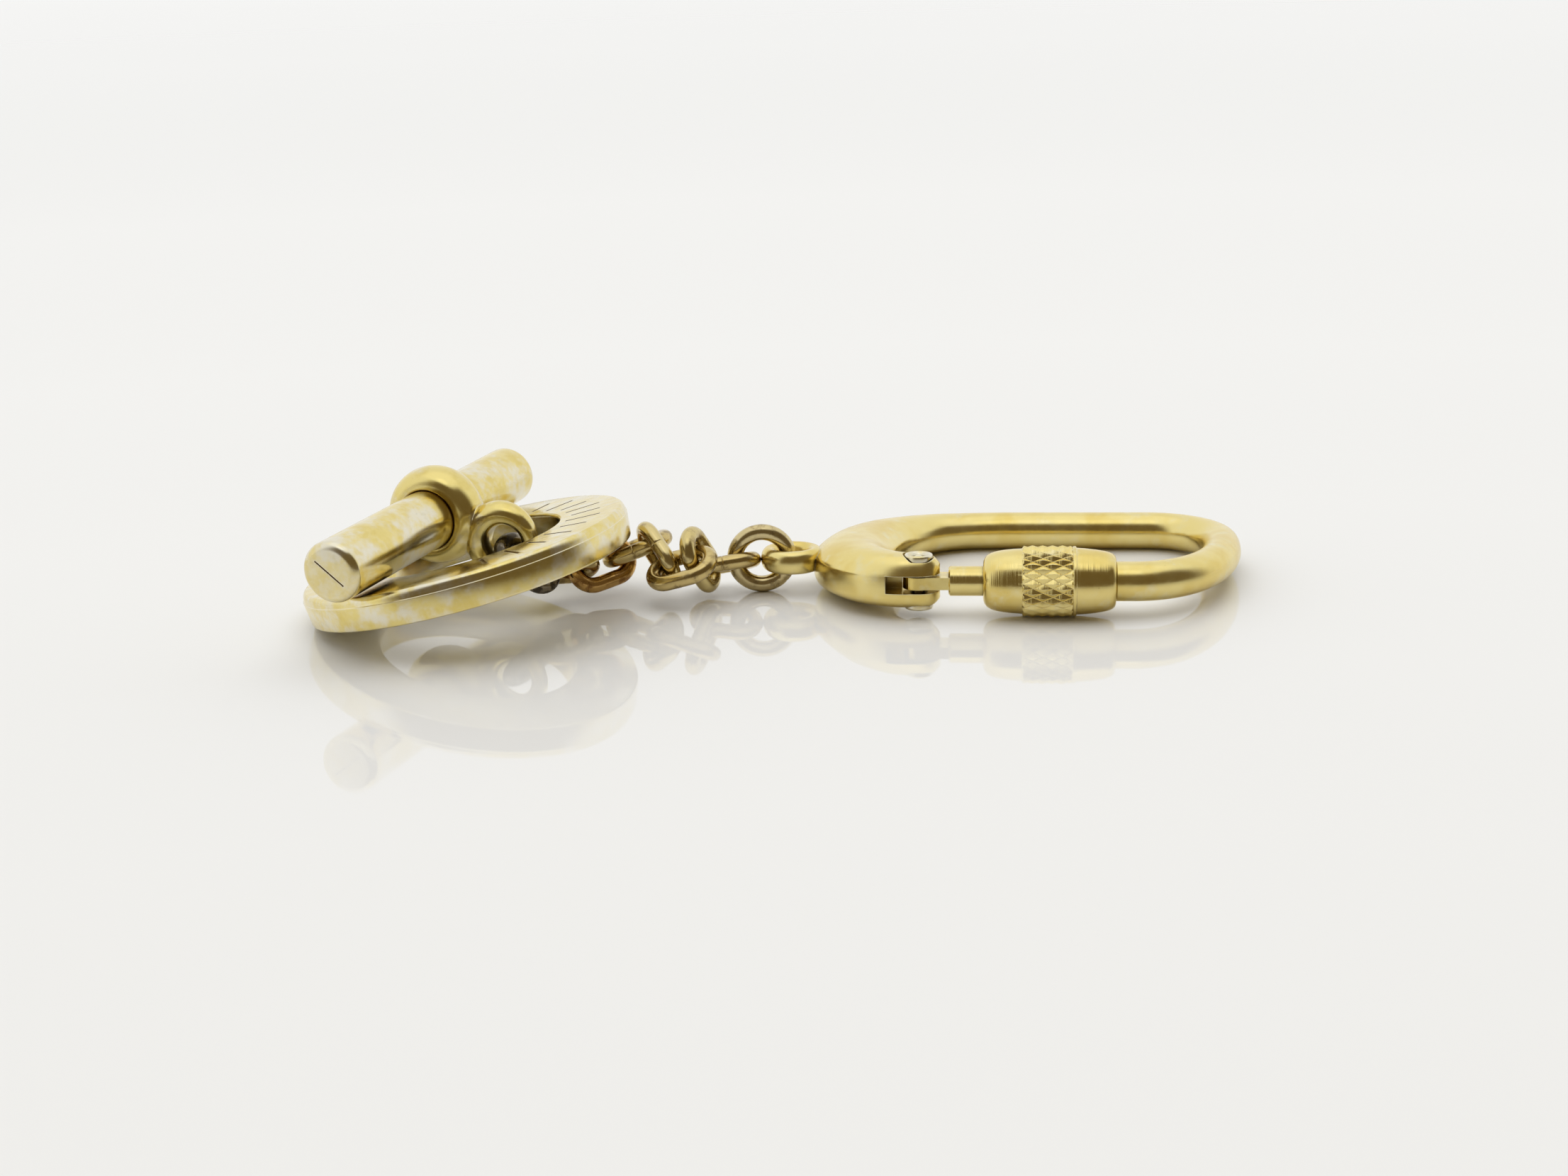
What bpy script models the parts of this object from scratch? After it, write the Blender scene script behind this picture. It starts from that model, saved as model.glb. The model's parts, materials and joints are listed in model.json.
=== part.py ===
# Toggle keyring: a cast carabiner with a screw sleeve gate, a chain of oval
# links and a disc ring held by a toggle bar. It lies on a flat surface, long
# side along X, seen from -Y. Lengths are in metres, +Z is up.
import math

import bmesh
import bpy
from mathutils import Matrix, Vector

# Clearances between pieces
GAP = 0.0003
OVERRUN = 0.002
MERGE = 0.00001

# Carabiner casting
BAR_DIA = 0.00475
PITCH = 0.028
RIVET_TO_NEAR_CORNER = 0.0255
NEAR_CORNER_LENGTH = 0.012
FAR_CORNER_RADIUS = 0.009
EAR_RADIUS = 0.0026
EAR_HALF_HEIGHT = 0.0031
SLOT_BACK = 0.0039
FRAME_EYE_OFFSET = (-0.0161, 0.0095)
FRAME_EYE_RISE = 0.0006
FRAME_EYE_OUTER_RADIUS = 0.00365
FRAME_EYE_HOLE_RADIUS = 0.00185
FRAME_EYE_HEIGHT = 0.0026
FRAME_EYE_ROUNDNESS = 0.75

# Rivet
RIVET_DIA = 0.0016
RIVET_HEAD_DIA = 0.0037
RIVET_HEAD_HEIGHT = 0.00035

# Gate arm
TONGUE_THICKNESS = 0.0015
TONGUE_RADIUS = 0.0019
TONGUE_WIDTH = 0.0032
TONGUE_LENGTH = 0.0036
STUD_DIA = 0.0036
TONGUE_SINK = 0.0003
STOP_DIA = 0.0049
STOP_LENGTH = 0.0012
ROD_END = 0.0194

# Screw sleeve on the gate arm
SLEEVE_START = 0.0077
SLEEVE_LENGTH = 0.0157
SLEEVE_WALL_END = 0.0011
KNURL_DIA = 0.00856
KNURL_LENGTH = 0.0059
MOUTH_BORE_DIA = 0.0055
NOSE_ENGAGEMENT = 0.0008
NOSE_LENGTH = 0.001

# Jump ring
JUMP_WIRE_DIA = 0.002
JUMP_RADIUS = 0.00335
JUMP_PLAY = 0.00045
JUMP_TURN = math.radians(7)

# Chain
LINK_WIRE_DIA = 0.00195
LINK_LENGTH = 0.0094
LINK_WIDTH = 0.0065
# How each link lies, in degrees: its place round the bend that carries it,
# its own swing about that wire, and its roll about its length. The first row
# is on the jump ring.
LINK_TURNS = (
    (-10, 0, 20),
    (70, 40, 0),
    (85, -85, 5),
    (60, -30, 10),
    (-50, -65, 5),
    (35, 5, 10),
    (-15, 5, 10),
    (-10, -35, 5),
)

# Toggle bar, its collar and the collar's eye
TOGGLE_DIA = 0.0073
TOGGLE_LENGTH = 0.045
TOGGLE_FILLET = 0.00095
TOGGLE_HEADING = math.radians(75.5)
COLLAR_HEIGHT = 0.00245
COLLAR_WIDTH = 0.0055
COLLAR_EDGE_WALL = 0.0006
COLLAR_SHIFT = -0.0028
COLLAR_EYE_RADIUS = 0.00315
COLLAR_EYE_WIRE_DIA = 0.002
COLLAR_EYE_SINK = 0.0005
COLLAR_EYE_DROP = math.radians(17)
COLLAR_EYE_TURN = math.radians(30)

# Disc ring
DISC_HOLE_DIA = 0.024
DISC_BAND_WIDTH = 0.0083
DISC_THICKNESS = 0.0041
DISC_SHOULDER = 0.0007
DISC_SHOULDER_DROP = 0.0011
DISC_RIM_FILLET = 0.00045
DISC_SHIFT_ACROSS = 0.0038
DISC_SHIFT_ALONG = -0.0003

# Facets of a round piece, a ring, the disc, the wire's section, the casting's
# section and a bend
ROUND_STEPS = 48
RING_STEPS = 32
DISC_STEPS = 72
SMALL_ROUND_STEPS = 24
WIRE_STEPS = 10
WIRE_RESOLUTION = 3
SECTION_STEPS = 24
BEND_STEPS = 9
NEAR_CORNER_STEPS = 13
TIP_STEPS = 6
FILLET_STEPS = 4
SMOOTH_ANGLE = math.radians(40)

PARTS_NAME = "toggle_keyring"
CUTTERS_NAME = "toggle_keyring_cutters"


def clear_scene():
    for old in list(bpy.data.objects):
        bpy.data.objects.remove(old, do_unlink=True)


def new_collection(name):
    group = bpy.data.collections.new(name)
    bpy.context.scene.collection.children.link(group)
    return group


def material(name, colour, roughness):
    """A plain metal in one colour."""
    made = bpy.data.materials.new(name)
    made.use_nodes = True
    shader = made.node_tree.nodes["Principled BSDF"]
    shader.inputs["Base Color"].default_value = (*colour, 1)
    shader.inputs["Roughness"].default_value = roughness
    shader.inputs["Metallic"].default_value = 1
    return made


def add_mesh(name, fill, group):
    """A new object whose mesh the function fill builds in a bmesh."""
    mesh = bpy.data.meshes.new(name)
    work = bmesh.new()
    fill(work)
    work.to_mesh(mesh)
    work.free()
    made = bpy.data.objects.new(name, mesh)
    group.objects.link(made)
    return made


def smooth(made):
    made.data.shade_smooth()
    made.data.set_sharp_from_angle(angle=SMOOTH_ANGLE)


def turned(name, profile, closed, group, steps=ROUND_STEPS):
    """A profile of (radius, height) points, outer side first, turned about Z."""
    mesh = bpy.data.meshes.new(name)
    count = len(profile)
    edges = [(k, k + 1) for k in range(count - 1)]
    if closed:
        edges.append((count - 1, 0))
    mesh.from_pydata([(radius, 0, height) for radius, height in profile], edges, [])
    made = bpy.data.objects.new(name, mesh)
    group.objects.link(made)
    screw = made.modifiers.new("turn", "SCREW")
    screw.steps = steps
    screw.render_steps = steps
    screw.use_merge_vertices = True
    screw.merge_threshold = MERGE
    screw.use_smooth_shade = True
    return made


def block(name, low, high, group):
    """A box between two corners."""
    size = [b - a for a, b in zip(low, high)]
    middle = [(a + b) / 2 for a, b in zip(low, high)]
    place = Matrix.Translation(middle) @ Matrix.Diagonal((*size, 1))
    return add_mesh(name, lambda work: bmesh.ops.create_cube(work, size=1, matrix=place), group)


def cylinder(name, radius, height, group, steps=ROUND_STEPS):
    """A cylinder about Z, centred on its origin."""
    def fill(work):
        bmesh.ops.create_cone(work, cap_ends=True, segments=steps, radius1=radius,
                              radius2=radius, depth=height)
    return add_mesh(name, fill, group)


def combine(made, other, operation):
    """Join or cut a piece with another object."""
    step = made.modifiers.new(other.name, "BOOLEAN")
    step.operation = operation
    step.object = other
    step.solver = "EXACT"


def as_cutter(made):
    made.hide_render = True
    made.display_type = "WIRE"
    return made


def frame_matrix(origin, x_axis, z_axis):
    """A placement from its origin, its X direction and its Z direction."""
    x = x_axis.normalized()
    z = (z_axis - x * z_axis.dot(x)).normalized()
    y = z.cross(x)
    turn = Matrix((x, y, z)).transposed().to_4x4()
    return Matrix.Translation(origin) @ turn


def joint(name, parent, world, group):
    """An empty on a joint's axis that carries what moves with it."""
    empty = bpy.data.objects.new(name, None)
    empty.empty_display_size = BAR_DIA
    group.objects.link(empty)
    put(empty, parent, world)
    return empty


def put(made, parent, world):
    """Place an object in the world under its parent."""
    made["world"] = [value for row in world for value in row]
    made.parent = parent
    made.matrix_basis = world_of(parent).inverted() @ world if parent else world


def world_of(made):
    values = list(made["world"])
    return Matrix([values[4 * k:4 * k + 4] for k in range(4)])


# The casting's centre line runs from the rivet round the back, along the far
# bar and round the right end to the nose. Each row holds shares: two of the
# pitch for the place, two of the bar's radius for the half width and half
# height, how far the section is from round to crowned, and the crown's power.
SPINE_SHARES = (
    (0.000, 0.000, 1.10, 1.30, 1.0, 6.0),
    (-0.105, 0.022, 1.32, 1.32, 1.0, 4.6),
    (-0.215, 0.115, 1.76, 1.34, 1.0, 3.0),
    (-0.285, 0.265, 2.08, 1.34, 1.0, 2.3),
    (-0.300, 0.420, 2.16, 1.33, 1.0, 2.2),
    (-0.274, 0.560, 2.08, 1.29, 0.9, 2.2),
    (-0.208, 0.715, 1.84, 1.20, 0.75, 2.2),
    (-0.105, 0.840, 1.54, 1.11, 0.5, 2.2),
    (0.030, 0.935, 1.25, 1.04, 0.25, 2.2),
    (0.190, 0.985, 1.08, 1.00, 0.0, 2.2),
    (0.370, 1.000, 1.00, 1.00, 0.0, 2.2),
)
# A crowned section as shares of its half width and half height: the crease at
# the top of its side wall, the wall's foot, its lean, the crown's top, and the
# powers of the rounding underneath.
CREASE_SHARE = 0.33
WALL_FOOT_SHARE = 0.5
WALL_LEAN_SHARE = 0.03
CROWN_TOP_SHARE = 1.08
FOOT_POWER = 3
FOOT_ROUNDNESS = 0.6
WALL_TURN = math.radians(30)
EAR_TIP_FALL_SHARE = 0.25
SPINE_STEPS = 4


def catmull(rows):
    """Rows at even steps along a smooth curve through the given rows."""
    padded = [[2 * a - b for a, b in zip(rows[0], rows[1])], *rows]
    padded.append([2 * a - b for a, b in zip(rows[-1], rows[-2])])
    result = []
    for k in range(len(rows) - 1):
        p0, p1, p2, p3 = padded[k:k + 4]
        for step in range(SPINE_STEPS):
            t = step / SPINE_STEPS
            result.append([
                (2 * b + (c - a) * t + (2 * a - 5 * b + 4 * c - d) * t * t
                 + (3 * b - a - 3 * c + d) * t ** 3) / 2
                for a, b, c, d in zip(p0, p1, p2, p3)])
    result.append(list(rows[-1]))
    return result


def casting_sections():
    """Sections (x, y, half width, half height, crowned, power) from the ear to
    the nose."""
    radius = BAR_DIA / 2
    ear = []
    for k in range(TIP_STEPS - 1, 0, -1):
        turn = math.pi / 2 * k / TIP_STEPS
        height = EAR_HALF_HEIGHT * (1 - EAR_TIP_FALL_SHARE * math.sin(turn) ** 4)
        ear.append((EAR_RADIUS * math.sin(turn), 0, EAR_RADIUS * math.cos(turn), height,
                    *SPINE_SHARES[0][4:]))
    rows = []
    for x, y, width, height, crowned, power in catmull(SPINE_SHARES):
        rows.append((x * PITCH, y * PITCH, width * radius, height * radius, crowned, power))
    bar = (radius, radius, *SPINE_SHARES[-1][4:])
    far_x = RIVET_TO_NEAR_CORNER + NEAR_CORNER_LENGTH - FAR_CORNER_RADIUS
    rows.append(((rows[-1][0] + far_x) / 2, PITCH, *bar))
    for k in range(BEND_STEPS):
        turn = math.pi / 2 * k / (BEND_STEPS - 1)
        rows.append((far_x + FAR_CORNER_RADIUS * math.sin(turn),
                     PITCH - FAR_CORNER_RADIUS * (1 - math.cos(turn)), *bar))
    near_depth = PITCH - FAR_CORNER_RADIUS
    for k in range(1, NEAR_CORNER_STEPS):
        turn = math.pi / 2 * k / (NEAR_CORNER_STEPS - 1)
        rows.append((RIVET_TO_NEAR_CORNER + NEAR_CORNER_LENGTH * math.cos(turn),
                     near_depth * (1 - math.sin(turn)), *bar))
    nose_tip = SLEEVE_START + SLEEVE_LENGTH - NOSE_ENGAGEMENT
    for k in range(TIP_STEPS):
        turn = math.pi / 2 * k / TIP_STEPS
        small = radius * math.cos(turn)
        rows.append((nose_tip + NOSE_LENGTH * (1 - math.sin(turn)), 0, small, small, *SPINE_SHARES[-1][4:]))
    return ear + rows


def section_point(turn, crowned, power):
    """One point of a section, as shares of its half width and half height."""
    c, s = math.cos(turn), math.sin(turn)
    wall = math.sin(WALL_TURN)
    across = c / math.cos(WALL_TURN)
    lean = 1 - WALL_LEAN_SHARE
    if abs(s) <= wall + MERGE:
        share = (s / wall + 1) / 2
        u = math.copysign(lean + WALL_LEAN_SHARE * (1 - (s / wall) ** 2), c)
        v = CREASE_SHARE * share - WALL_FOOT_SHARE * (1 - share)
    elif s > 0:
        u = lean * across
        v = CREASE_SHARE + (CROWN_TOP_SHARE - CREASE_SHARE) * (1 - abs(across) ** power)
    else:
        u = lean * across
        v = -WALL_FOOT_SHARE - (1 - WALL_FOOT_SHARE) * (1 - abs(across) ** FOOT_POWER) ** FOOT_ROUNDNESS
    return c + (u - c) * crowned, s + (v - s) * crowned


def loft_casting(work):
    """Skin the casting's sections, closed at both ends."""
    rows = casting_sections()
    rings = []
    for k, (x, y, width, height, crowned, power) in enumerate(rows):
        back = rows[max(k - 1, 0)]
        ahead = rows[min(k + 1, len(rows) - 1)]
        along = Vector((ahead[0] - back[0], ahead[1] - back[1], 0)).normalized()
        side = Vector((along.y, -along.x, 0))
        ring = []
        for step in range(SECTION_STEPS):
            u, v = section_point(2 * math.pi * step / SECTION_STEPS, crowned, power)
            ring.append(work.verts.new(Vector((x, y, v * height)) + side * u * width))
        rings.append(ring)
    for first, second in zip(rings, rings[1:]):
        for step in range(SECTION_STEPS):
            after = (step + 1) % SECTION_STEPS
            work.faces.new((first[step], second[step], second[after], first[after]))
    work.faces.new(rings[0])
    work.faces.new(list(reversed(rings[-1])))
    bmesh.ops.recalc_face_normals(work, faces=work.faces)


def build_frame(parts, cutters, metal, origin):
    """The casting with its eye, its fork slot and its rivet hole."""
    frame = add_mesh("frame", loft_casting, parts)
    width = (FRAME_EYE_OUTER_RADIUS - FRAME_EYE_HOLE_RADIUS) / 2
    middle = FRAME_EYE_OUTER_RADIUS - width
    profile = []
    for step in range(SECTION_STEPS):
        turn = 2 * math.pi * step / SECTION_STEPS
        c, s = math.cos(turn), math.sin(turn)
        profile.append((middle + math.copysign(abs(s) ** FRAME_EYE_ROUNDNESS, s) * width,
                        math.copysign(abs(c) ** FRAME_EYE_ROUNDNESS, c) * FRAME_EYE_HEIGHT / 2))
    eye = as_cutter(turned("frame_eye_solid", profile, True, cutters))
    slot_height = TONGUE_THICKNESS + 2 * GAP
    slot = as_cutter(block("fork_slot_cutter",
                           (-SLOT_BACK, -EAR_RADIUS - OVERRUN, -slot_height / 2),
                           (EAR_RADIUS + OVERRUN, 2 * EAR_RADIUS + OVERRUN, slot_height / 2), cutters))
    hole = as_cutter(cylinder("rivet_hole_cutter", RIVET_DIA / 2 + GAP,
                              2 * (EAR_HALF_HEIGHT * CROWN_TOP_SHARE + OVERRUN), cutters))
    put(frame, origin, world_of(origin))
    put(eye, origin, world_of(origin) @ Matrix.Translation((*FRAME_EYE_OFFSET, FRAME_EYE_RISE)))
    put(slot, origin, world_of(origin))
    put(hole, origin, world_of(origin))
    combine(frame, eye, "UNION")
    combine(frame, slot, "DIFFERENCE")
    combine(frame, hole, "DIFFERENCE")
    frame.data.materials.append(metal)
    smooth(frame)


def build_rivet(parts, metal, origin):
    """The rivet's shank and its two flat heads, one solid turned about Z."""
    seat = EAR_HALF_HEIGHT * CROWN_TOP_SHARE + GAP
    top = seat + RIVET_HEAD_HEIGHT
    head = RIVET_HEAD_DIA / 2
    shank = RIVET_DIA / 2
    profile = [(0, top), (head, top), (head, seat), (shank, seat),
               (shank, -seat), (head, -seat), (head, -top), (0, -top)]
    pin = turned("gate_pin", profile, False, parts, SMALL_ROUND_STEPS)
    pin.data.materials.append(metal)
    put(pin, origin, world_of(origin))


def build_gate(parts, cutters, metal, hinge):
    """The tongue in the fork, the stud, its stop and the rod in the sleeve."""
    along_x = Matrix.Rotation(math.pi / 2, 4, "Y")
    stud = STUD_DIA / 2
    stop_start = SLEEVE_START + SLEEVE_WALL_END + GAP
    stop_end = stop_start + STOP_LENGTH
    profile = [(0, ROD_END), (stud, ROD_END), (stud, stop_end), (STOP_DIA / 2, stop_end),
               (STOP_DIA / 2, stop_start), (stud, stop_start), (stud, TONGUE_LENGTH), (0, TONGUE_LENGTH)]
    arm = turned("gate_arm", profile, False, parts)
    put(arm, hinge, world_of(hinge) @ along_x)
    tongue = as_cutter(block("tongue_solid", (0, -TONGUE_WIDTH / 2, -TONGUE_THICKNESS / 2),
                             (TONGUE_LENGTH + TONGUE_SINK, TONGUE_WIDTH / 2, TONGUE_THICKNESS / 2), cutters))
    end = as_cutter(cylinder("tongue_end_solid", TONGUE_RADIUS, TONGUE_THICKNESS, cutters))
    hole = as_cutter(cylinder("tongue_hole_cutter", RIVET_DIA / 2 + GAP,
                              TONGUE_THICKNESS + OVERRUN, cutters))
    for piece in (tongue, end, hole):
        put(piece, hinge, world_of(hinge))
    combine(tongue, end, "UNION")
    combine(tongue, hole, "DIFFERENCE")
    combine(arm, tongue, "UNION")
    arm.data.materials.append(metal)


# The sleeve's outside as shares: its length from the closed end, and the
# radius of its knurled band. The band itself lies between the two middle rows.
SLEEVE_LEFT_SHARES = ((0.000, 0.60), (0.045, 0.73), (0.15, 0.85), (0.30, 0.92))
SLEEVE_RIGHT_SHARES = ((0.02, 0.95), (0.50, 0.88), (0.90, 0.83), (1.00, 0.74))


def build_sleeve(parts, metal, slide):
    """A turned tube: closed round the stud, open at the nose."""
    band = KNURL_DIA / 2
    left = SLEEVE_LENGTH * SLEEVE_LEFT_SHARES[-1][0]
    right = left + KNURL_LENGTH
    outside = [(SLEEVE_LENGTH * z, band * r) for z, r in SLEEVE_LEFT_SHARES]
    outside += [(left, band), (right, band)]
    outside += [(right + (SLEEVE_LENGTH - right) * z, band * r) for z, r in SLEEVE_RIGHT_SHARES]
    bore = MOUTH_BORE_DIA / 2
    throat = STUD_DIA / 2 + GAP
    inside = [(0, throat), (SLEEVE_WALL_END, throat), (SLEEVE_WALL_END, bore), (SLEEVE_LENGTH, bore)]
    profile = [(r, z) for z, r in reversed(outside)] + [(r, z) for z, r in inside]
    sleeve = turned("screw_sleeve", profile, True, parts)
    sleeve.data.materials.append(metal)
    put(sleeve, slide, world_of(slide) @ Matrix.Rotation(math.pi / 2, 4, "Y"))


def torus(name, radius, wire_radius, steps, group):
    """A ring of round wire about Z."""
    profile = []
    for step in range(WIRE_STEPS):
        turn = 2 * math.pi * step / WIRE_STEPS
        profile.append((radius + wire_radius * math.sin(turn), wire_radius * math.cos(turn)))
    return turned(name, profile, True, group, steps)


def link_bend():
    """The radius of a link's bend, and the run between its two bend centres."""
    radius = (LINK_WIDTH - LINK_WIRE_DIA) / 2
    return radius, LINK_LENGTH - LINK_WIDTH


def build_link(name, parts, metal, body, world):
    """A closed oval of round wire, its first bend centred on its origin."""
    radius, run = link_bend()
    points = []
    for k in range(BEND_STEPS):
        turn = math.pi * k / (BEND_STEPS - 1) - math.pi / 2
        points.append((run + radius * math.cos(turn), radius * math.sin(turn)))
    for k in range(BEND_STEPS):
        turn = math.pi * k / (BEND_STEPS - 1) + math.pi / 2
        points.append((radius * math.cos(turn), radius * math.sin(turn)))
    curve = bpy.data.curves.new(name, "CURVE")
    curve.dimensions = "3D"
    curve.bevel_depth = LINK_WIRE_DIA / 2
    curve.bevel_resolution = WIRE_RESOLUTION
    spline = curve.splines.new("POLY")
    spline.points.add(len(points) - 1)
    for point, (x, y) in zip(spline.points, points):
        point.co = (x, y, 0, 1)
    spline.use_cyclic_u = True
    drawn = bpy.data.objects.new(name + "_wire", curve)
    parts.objects.link(drawn)
    bpy.context.view_layer.update()
    evaluated = drawn.evaluated_get(bpy.context.evaluated_depsgraph_get())
    mesh = bpy.data.meshes.new_from_object(evaluated)
    bpy.data.objects.remove(drawn, do_unlink=True)
    work = bmesh.new()
    work.from_mesh(mesh)
    bmesh.ops.remove_doubles(work, verts=work.verts, dist=MERGE)
    bmesh.ops.recalc_face_normals(work, faces=work.faces)
    work.to_mesh(mesh)
    work.free()
    mesh.name = name
    link = bpy.data.objects.new(name, mesh)
    parts.objects.link(link)
    link.data.materials.append(metal)
    link.data.shade_smooth()
    put(link, body, world)


def frame_eye_centre(origin):
    return world_of(origin) @ Vector((*FRAME_EYE_OFFSET, FRAME_EYE_RISE))


def jump_ring_place(origin):
    """The jump ring stands on the surface and is drawn towards the chain in
    the frame's eye. X points from the eye to its centre, Z is its own axis."""
    eye = frame_eye_centre(origin)
    rise = JUMP_RADIUS + JUMP_WIRE_DIA / 2 - eye.z
    reach = JUMP_RADIUS + JUMP_PLAY
    out = math.sqrt(reach ** 2 - rise ** 2)
    to_centre = Vector((-out * math.cos(JUMP_TURN), -out * math.sin(JUMP_TURN), rise))
    return frame_matrix(eye + to_centre, to_centre, to_centre.cross(Vector((0, 0, 1))))


def hooked(place, run, radius, turns):
    """From one piece's placement (X along it, Z its axis) to the next link's.
    The next link's first bend is centred on the wire of the bend that starts
    at the end of the run."""
    turn, swing, roll = (math.radians(value) for value in turns)
    facing = place.to_3x3()
    out = facing @ Vector((math.cos(turn), math.sin(turn), 0))
    wire = facing @ Vector((-math.sin(turn), math.cos(turn), 0))
    axis = facing @ Vector((0, 0, 1))
    centre = place @ Vector((run, 0, 0)) + out * radius
    straight = frame_matrix(centre, out * math.cos(swing) + axis * math.sin(swing), wire)
    return straight @ Matrix.Rotation(roll, 4, "X")


def chain_places(origin):
    """The placements of the links, from the jump ring outwards."""
    radius, run = link_bend()
    places = [hooked(jump_ring_place(origin), 0, JUMP_RADIUS, LINK_TURNS[0])]
    for turns in LINK_TURNS[1:]:
        places.append(hooked(places[-1], run, radius, turns))
    return places


def collar_eye_place(last_link):
    """The collar's eye hangs on the last link's far bend.
    X points from the eye to the toggle bar, Z runs along the bar."""
    radius, run = link_bend()
    place = Vector((math.cos(COLLAR_EYE_TURN), math.sin(COLLAR_EYE_TURN), 0))
    centre = last_link @ (Vector((run, 0, 0)) + place * radius)
    bar = Vector((math.cos(TOGGLE_HEADING), math.sin(TOGGLE_HEADING), 0))
    level = Vector((-bar.y, bar.x, 0))
    to_bar = level * math.cos(COLLAR_EYE_DROP) + Vector((0, 0, 1)) * math.sin(COLLAR_EYE_DROP)
    return frame_matrix(centre, to_bar, bar)


def collar_eye_reach():
    """From the eye's centre to the toggle bar's axis."""
    collar = TOGGLE_DIA / 2 + COLLAR_HEIGHT
    return collar + COLLAR_EYE_RADIUS + COLLAR_EYE_WIRE_DIA / 2 - COLLAR_EYE_SINK


def build_collar(parts, cutters, metal, toggle):
    """A half-round collar round the bar with an eye on its side."""
    bore = TOGGLE_DIA / 2 + GAP
    edge = bore + COLLAR_EDGE_WALL
    crown = TOGGLE_DIA / 2 + COLLAR_HEIGHT - edge
    half = COLLAR_WIDTH / 2
    profile = []
    for step in range(BEND_STEPS):
        turn = math.pi * step / (BEND_STEPS - 1)
        profile.append((edge + crown * math.sin(turn), half * math.cos(turn)))
    profile += [(bore, -half), (bore, half)]
    collar = turned("toggle_collar", profile, True, parts)
    eye = as_cutter(torus("collar_eye_solid", COLLAR_EYE_RADIUS, COLLAR_EYE_WIRE_DIA / 2,
                          RING_STEPS, cutters))
    bar_axis = world_of(toggle) @ Matrix.Translation((collar_eye_reach(), 0, 0))
    put(collar, toggle, bar_axis)
    put(eye, toggle, world_of(toggle))
    combine(collar, eye, "UNION")
    collar.data.materials.append(metal)


def build_toggle_bar(parts, metal, toggle):
    """The round bar with filleted ends, shifted along its collar."""
    radius = TOGGLE_DIA / 2
    half = TOGGLE_LENGTH / 2
    arc = []
    for step in range(FILLET_STEPS + 1):
        turn = math.pi / 2 * step / FILLET_STEPS
        arc.append((radius - TOGGLE_FILLET * (1 - math.sin(turn)),
                    half - TOGGLE_FILLET * (1 - math.cos(turn))))
    profile = [(0, half)] + arc + [(r, -z) for r, z in reversed(arc)] + [(0, -half)]
    bar = turned("toggle_bar", profile, False, parts)
    bar.data.materials.append(metal)
    put(bar, toggle, world_of(toggle) @ Matrix.Translation((collar_eye_reach(), 0, COLLAR_SHIFT)))


def disc_place(toggle):
    """The disc ring lies under the bar and leans until its left edge meets
    the surface. Z is the ring's axis, X points across the bar to the right."""
    bar = world_of(toggle) @ Matrix.Translation((collar_eye_reach(), 0, COLLAR_SHIFT))
    along = bar.to_3x3() @ Vector((0, 0, 1))
    level = Vector((along.y, -along.x, 0)).normalized()
    lever = DISC_HOLE_DIA / 2 + DISC_BAND_WIDTH - DISC_SHIFT_ACROSS
    stack = DISC_THICKNESS + GAP + TOGGLE_DIA / 2
    height = bar.translation.z
    lean = math.asin(height / math.hypot(lever, stack)) - math.atan2(stack, lever)
    across = level * math.cos(lean) + Vector((0, 0, 1)) * math.sin(lean)
    axis = across.cross(along)
    centre = (bar.translation - axis * (TOGGLE_DIA / 2 + GAP + DISC_THICKNESS / 2)
              + across * DISC_SHIFT_ACROSS - along * DISC_SHIFT_ALONG)
    return frame_matrix(centre, across, axis)


def build_disc(parts, metal, body):
    """A flat ring: level faces, a sloped outer shoulder and a ridge."""
    hole = DISC_HOLE_DIA / 2
    outer = hole + DISC_BAND_WIDTH
    half = DISC_THICKNESS / 2
    profile = [(hole + DISC_RIM_FILLET, half), (outer - DISC_SHOULDER, half),
               (outer, half - DISC_SHOULDER_DROP), (outer - DISC_RIM_FILLET, -half),
               (hole + DISC_RIM_FILLET, -half), (hole, -half + DISC_RIM_FILLET),
               (hole, half - DISC_RIM_FILLET)]
    disc = turned("disc_ring", profile, True, parts, DISC_STEPS)
    disc.data.materials.append(metal)
    put(disc, body, world_of(body))


def settle(root, group):
    """Move everything so that the part's box stands centred on the origin."""
    bpy.context.view_layer.update()
    graph = bpy.context.evaluated_depsgraph_get()
    points = []
    for made in group.objects:
        if made.type != "MESH":
            continue
        shape = made.evaluated_get(graph)
        points += [shape.matrix_world @ vertex.co for vertex in shape.data.vertices]
    low = [min(point[axis] for point in points) for axis in range(3)]
    high = [max(point[axis] for point in points) for axis in range(3)]
    root.location -= Vector(((low[0] + high[0]) / 2, (low[1] + high[1]) / 2, low[2]))


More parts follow.
